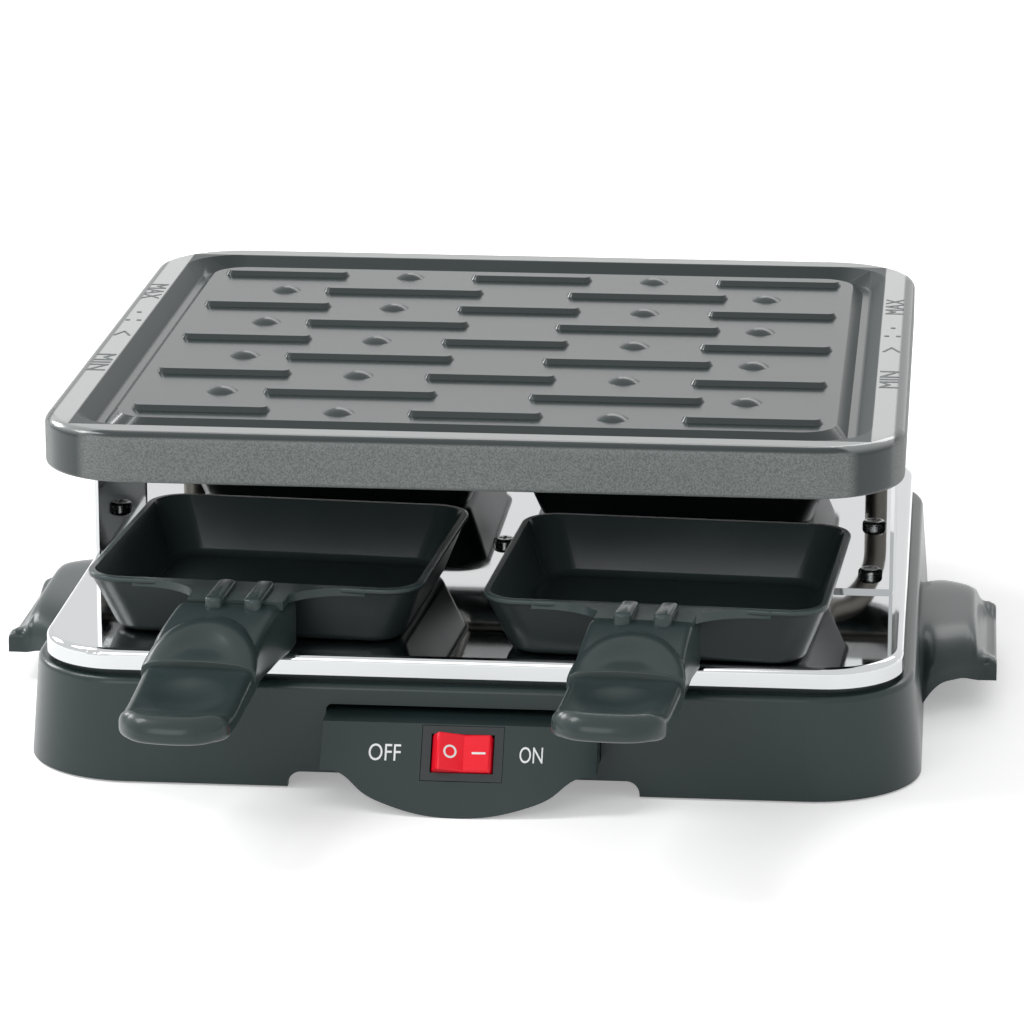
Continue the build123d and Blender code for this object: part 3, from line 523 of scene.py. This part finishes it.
def unit_block(counts, spot):
    """A block cut into rows across each of its axes, with each point moved to its spot."""
    bm = bmesh.new()
    bmesh.ops.create_cube(bm, size=2.0)
    for axis, count in enumerate(counts):
        rows = [e for e in bm.edges if abs(e.verts[0].co[axis] - e.verts[1].co[axis]) > 1.0]
        bmesh.ops.subdivide_edges(bm, edges=rows, cuts=count, use_grid_fill=True)
    for vert in bm.verts:
        vert.co = spot(*vert.co)
    return bm


def handle_spot(across, back, up):
    """Where a point of the unit block comes to lie on the handle of a pan at the origin."""
    line = handle_start + (handle_end - handle_start) * (1.0 - ((1.0 + back) / 2) ** handle_row_power)
    half = handle_half - neck_in * (1.0 - smooth(line, neck_line, crease_line))
    half += (handle_end_half - handle_half) * smooth(line, crease_line, handle_end)
    x = sin(across * pi / 2) * half
    edge = min(half - abs(x), handle_end - line)
    top_round = side_round + (end_round - side_round) * smooth(line, *end_round_lines)
    reach = hypot((line - dish_middle) / dish_reach, x / dish_half)
    dish = dish_depth * max(1.0 - reach**2, 0.0) ** dish_power
    top = along(handle_top, line) + dish + round_off(edge, top_round)
    low = along(handle_low, line) - round_off(edge, low_round)
    drop = low + (top - low) * (up + 1.0) / 2
    beside, beyond = abs(x) - (half - handle_corner), line - (handle_end - handle_corner)
    if beside > 0.0 and beyond > 0.0:
        pull = max(beside, beyond) / hypot(beside, beyond)
        x = (half - handle_corner + beside * pull) * (1.0 if x > 0.0 else -1.0)
        line = handle_end - handle_corner + beyond * pull
    line -= (handle_nose - sqrt(handle_nose**2 - x * x)) * smooth(line, nose_line, handle_end)
    return Vector((x, pan_front - line, pan_top - drop)) * mm


def dome_height(x, y):
    """The cushion's height over the neck, for a spot on its unit disc."""
    reach = min(hypot(x, y), 1.0)
    full = dome_rise * (1.0 - dome_fade * (1.0 - smooth(y, 0.0, fade_reach)))
    if reach > dome_roll:
        return full * sqrt(max(1.0 - ((reach - dome_roll) / (1.0 - dome_roll)) ** 2, 0.0))
    return full - dome_dish * smooth(dome_roll - reach, 0.0, dome_dish_in) * smooth(y, 0.0, dome_dish_reach)


def handle_dome():
    """The half-round cushion behind the crease: a disc with rings, swollen and cut at the crease."""
    bm = bmesh.new()
    bmesh.ops.create_cone(bm, cap_ends=True, segments=dome_sides, radius1=1.0, radius2=1.0, depth=2.0)
    cap = max(bm.faces, key=lambda face: face.calc_center_median().z)
    for thickness in dome_insets:
        bmesh.ops.inset_region(bm, faces=[cap], thickness=thickness, use_even_offset=True)
    bmesh.ops.poke(bm, faces=[cap])
    crease_y, crease_z = pan_front - crease_line, pan_top - crease_drop
    for vert in bm.verts:
        x, y, z = vert.co
        rise = dome_height(x, y) - dome_crown * x * x if z > 0.0 else -dome_sink
        rise += y * dome_reach * neck_fall
        vert.co = Vector((x * dome_half, crease_y + y * dome_reach, crease_z + rise)) * mm
    whole = bm.verts[:] + bm.edges[:] + bm.faces[:]
    place, front = (0.0, crease_y * mm, 0.0), (0.0, -1.0, 0.0)
    cut = bmesh.ops.bisect_plane(
        bm, geom=whole, dist=cut_reach, plane_co=place, plane_no=front, clear_outer=True
    )
    rim = [part for part in cut["geom_cut"] if isinstance(part, bmesh.types.BMEdge)]
    faces = bmesh.ops.contextual_create(bm, geom=rim)["faces"]
    arch = [e for face in faces for e in face.edges if e.calc_face_angle(0.0) < radians(arch_angle)]
    arch = [e for e in arch if min(v.co.z for v in e.verts) > (crease_z - arch_room) * mm]
    round_edges(bm, arch, arch_round)
    return to_mesh(bm, "handle_dome")


def screw_pocket():
    bm = bmesh.new()
    low, radius = pan_top - handle_low[0][1], screw_r * mm
    bmesh.ops.create_cone(
        bm, cap_ends=True, segments=screw_sides, radius1=radius, radius2=radius, depth=2 * screw_depth * mm
    )
    bmesh.ops.translate(bm, verts=bm.verts, vec=Vector((0.0, pan_front - screw_line, low)) * mm)
    return to_mesh(bm, "screw_pocket")


def tongue_ribs():
    """The two ridges that stiffen a pan's tongue."""
    bm = bmesh.new()
    middle_y, middle_z = pan_front - rib_start - rib_length / 2, pan_top - rib_height * rib_sink_share
    for x in (-rib_x, rib_x):
        add_block(bm, (rib_width, rib_length, 2 * rib_height), (x, middle_y, middle_z))
    round_edges(bm, upright_edges(bm, rib_height), rib_corner, 6)
    top = (middle_z + rib_height / 2) * mm
    round_edges(bm, [e for e in bm.edges if min(v.co.z for v in e.verts) > top], rib_edge, 4)
    return to_mesh(bm, "tongue_ribs")


def make_pan_handles(material, enamel):
    body = to_mesh(unit_block(handle_rows, handle_spot), "handle_body")
    whole = joined(body, ("UNION", handle_dome()), ("DIFFERENCE", screw_pocket()))
    ribs = tongue_ribs()
    hinge = Matrix.Translation(Vector((0.0, pan_front, pan_top)) * mm)
    for side, (x, y, turn, tip, crease_bend, end_bend) in pan_places.items():
        mesh, ridges = whole.copy(), ribs.copy()
        for vert in mesh.vertices:
            line = pan_front - vert.co.y / mm
            bend = crease_bend * smooth(line, *bend_lines)
            bend += (end_bend - crease_bend) * smooth(line, crease_line, straight_line)
            vert.co.x -= bend * mm
        place = Matrix.Translation(Vector((x, y, 0.0)) * mm) @ Matrix.Rotation(radians(turn), 4, "Z")
        place = place @ hinge @ Matrix.Rotation(radians(-tip), 4, "X") @ hinge.inverted()
        for shape in (mesh, ridges):
            shape.transform(place)
        piece = add_piece(f"handle_{side}", mesh, material, f"pan_{side}", sharp_handle)
        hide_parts(f"pan_handle_{side}")
        add_piece(f"tongue_ribs_{side}", ridges, enamel, f"pan_{side}")
    for shape in (whole, ribs):
        bpy.data.meshes.remove(shape)


def grip_spot(across, beside, up):
    """Where a point of the unit block comes to lie on the right grip."""
    x = along(grip_rows, (across + 1.0) / 2)
    half = grip_end_half + (grip_half - grip_end_half) * (1.0 - smooth(x, *grip_taper))
    share = sin(beside * pi / 2)
    lip = smooth(x, *lip_reach)
    root = min(max((x - grip_wall) / root_reach, 0.0), 1.0)
    low = grip_low - (grip_low - grip_root) * (1.0 - root) ** root_power
    low -= lip_drop * smooth(x, *lip_drop_reach)
    top = along(grip_top, x) + grip_ear * smooth(x, *ear_reach) * smooth(abs(share) * half, *ear_side)
    square = hood_square + lip_square * lip
    arch = (1.0 - abs(share) ** square) ** (1.0 / square)
    lean = (share * grip_lean - grip_crown * share * share) * (1.0 - lip)
    z = low + (top + lean - low) * arch * (up + 1.0) / 2
    return Vector((x, half * share, z)) * mm


def grip_pockets():
    """The hollows under a grip, which leave two ribs between them."""
    bm = bmesh.new()
    for low, high in pocket_spans:
        add_block(bm, (pocket_w, high - low, pocket_h), (pocket_x, (low + high) / 2, pocket_z))
    edges = [e for e in bm.edges if max(v.co.z for v in e.verts) > pocket_round_z * mm]
    round_edges(bm, edges, pocket_round, 4)
    return to_mesh(bm, "grip_pockets")


def make_side_grips(material):
    bm = unit_block(grip_cells, grip_spot)
    bmesh.ops.remove_doubles(bm, verts=bm.verts, dist=merge_reach)
    whole = joined(to_mesh(bm, "grip"), ("DIFFERENCE", grip_pockets()))
    for side, size in grip_sizes.items():
        bm = bmesh.new()
        bm.from_mesh(whole)
        bmesh.ops.scale(bm, verts=bm.verts, vec=size)
        piece = add_piece(f"grip_{side}", to_mesh(bm, "grip"), material, "base", sharp_soft)
        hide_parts(f"side_handle_{side}")
    bpy.data.meshes.remove(whole)


def soften(node, material, body, offset):
    """A copy of a CAD node with its sharp edges rounded, which stands for it."""
    bm = bmesh.new()
    bm.from_mesh(frame["nodes"][node].data)
    bmesh.ops.remove_doubles(bm, verts=bm.verts, dist=merge_reach)
    bmesh.ops.dissolve_limit(bm, angle_limit=radians(flat_angle), verts=bm.verts, edges=bm.edges)
    outer = [e for e in bm.edges if e.is_manifold and e.is_convex]
    edges = [e for e in outer if e.calc_face_angle(0.0) > radians(soft_angle)]
    round_edges(bm, edges, offset, clamp_overlap=True)
    piece = add_piece(f"soft_{node}", to_mesh(bm, node), material, body, sharp_soft)
    for face in piece.data.polygons:
        face.use_smooth = face.area < flat_face * mm * mm
    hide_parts(node)


def panel_face():
    lean = radians(panel_lean)
    across, up, out = Vector((1, 0, 0)), Vector((0, sin(lean), cos(lean))), Vector((0, -cos(lean), sin(lean)))
    return Matrix.Translation(Vector(panel_edge) * mm) @ Matrix((across, up, out)).transposed().to_4x4()


def word(text, width, height, thick):
    """A raised word, centred, as wide and high as it is told."""
    curve = bpy.data.curves.new(text, "FONT")
    curve.body, curve.extrude, curve.resolution_u = text, 0.5, 4
    letters = bpy.data.objects.new(text, curve)
    scene.collection.objects.link(letters)
    ready = letters.evaluated_get(bpy.context.evaluated_depsgraph_get())
    mesh = bpy.data.meshes.new_from_object(ready)
    bpy.data.objects.remove(letters)
    low, high = (Vector(side(v.co[k] for v in mesh.vertices) for k in range(3)) for side in (min, max))
    size = Matrix.Diagonal(Vector((width, height, thick)) * mm).to_4x4()
    fit = Matrix.Diagonal([1.0 / span for span in high - low]).to_4x4()
    mesh.transform(size @ fit @ Matrix.Translation(-(low + high) / 2))
    return mesh


def ring(outer, inner, thick):
    bm = bmesh.new()
    loops = []
    for radius in (outer, inner):
        made = bmesh.ops.create_circle(bm, segments=ring_sides, radius=radius * mm)
        loops += list({e for v in made["verts"] for e in v.link_edges})
    flat = bmesh.ops.bridge_loops(bm, edges=loops)["faces"]
    raised = bmesh.ops.extrude_face_region(bm, geom=flat)["geom"]
    upper = [part for part in raised if isinstance(part, bmesh.types.BMVert)]
    bmesh.ops.translate(bm, verts=upper, vec=(0.0, 0.0, thick * mm))
    return to_mesh(bm, "ring")


def bar(length, width, thick):
    bm = bmesh.new()
    add_block(bm, (length, width, thick))
    round_edges(bm, upright_edges(bm, thick / 2), width / 3)
    return to_mesh(bm, "bar")


def make_panel_marks(ink):
    face = panel_face()
    for name, text, (left, right, top, low) in (("mark_off", "OFF", off_box), ("mark_on", "ON", on_box)):
        mesh = word(text, right - left, low - top, print_thick)
        middle = Vector(((left + right) / 2, -(top + low) / 2, print_lift)) * mm
        mesh.transform(face @ Matrix.Translation(middle))
        add_piece(name, mesh, ink, "base")
    across, down = rocker_place
    rocker = face @ Matrix.Translation(Vector((across, -down, -rocker_pivot)) * mm)
    rocker = rocker @ Matrix.Rotation(radians(rocker_turn), 4, "Y")
    marks = (
        ("mark_ring", ring(*ring_size), ring_x, ring_z, rocker_slope),
        ("mark_dash", bar(*dash_size), dash_x, dash_z, -rocker_slope),
    )
    for name, mesh, x, z, slope in marks:
        spot = Matrix.Translation(Vector((x, 0.0, z)) * mm) @ Matrix.Rotation(radians(slope), 4, "Y")
        mesh.transform(rocker @ spot)
        add_piece(name, mesh, ink, "rocker")


def make_rim_marks(ink):
    """Words, arrows and dots on both sides of the plate's rim, each read from its own side."""
    for side, name in ((1, "right"), (-1, "left")):
        marks = [(f"{text}_{name}", word(text.upper(), *rim_word_size), y, 0.0, 0.0) for text, y in rim_words]
        for k in (-1, 1):
            turn = arrow_angle * k * side
            marks.append((f"arrow_{name}_{k + 1}", bar(*arrow_size), arrow_y, arrow_half * k, turn))
            marks.append((f"dot_{name}_{k + 1}", bar(*dot_size), dot_pair_y, dot_pair_half * k, 0.0))
        marks.append((f"dot_{name}_1", bar(*dot_size), dot_y, 0.0, 0.0))
        for mark, mesh, y, x, turn in marks:
            spot = Vector((side * (rim_mark_x + x), y, rim_top + rim_mark_lift)) * mm
            angle = side * pi / 2 + radians(turn)
            mesh.transform(Matrix.Translation(spot) @ Matrix.Rotation(angle, 4, "Z"))
            add_piece(f"mark_{mark}", mesh, ink, "plate")


scene.view_settings.view_transform = "Standard"
make_camera()
make_studio()
make_floor()
materials = make_materials()
dress_nodes(materials)
make_pan_handles(materials["handle_plastic"], materials["pan_enamel"])
make_side_grips(materials["handle_plastic"])
soften("control_panel", materials["base_plastic"], "base", panel_soft)
soften("switch_rocker", materials["switch_red"], "rocker", rocker_soft)
make_panel_marks(materials["white_print"])
make_rim_marks(materials["rim_print"])
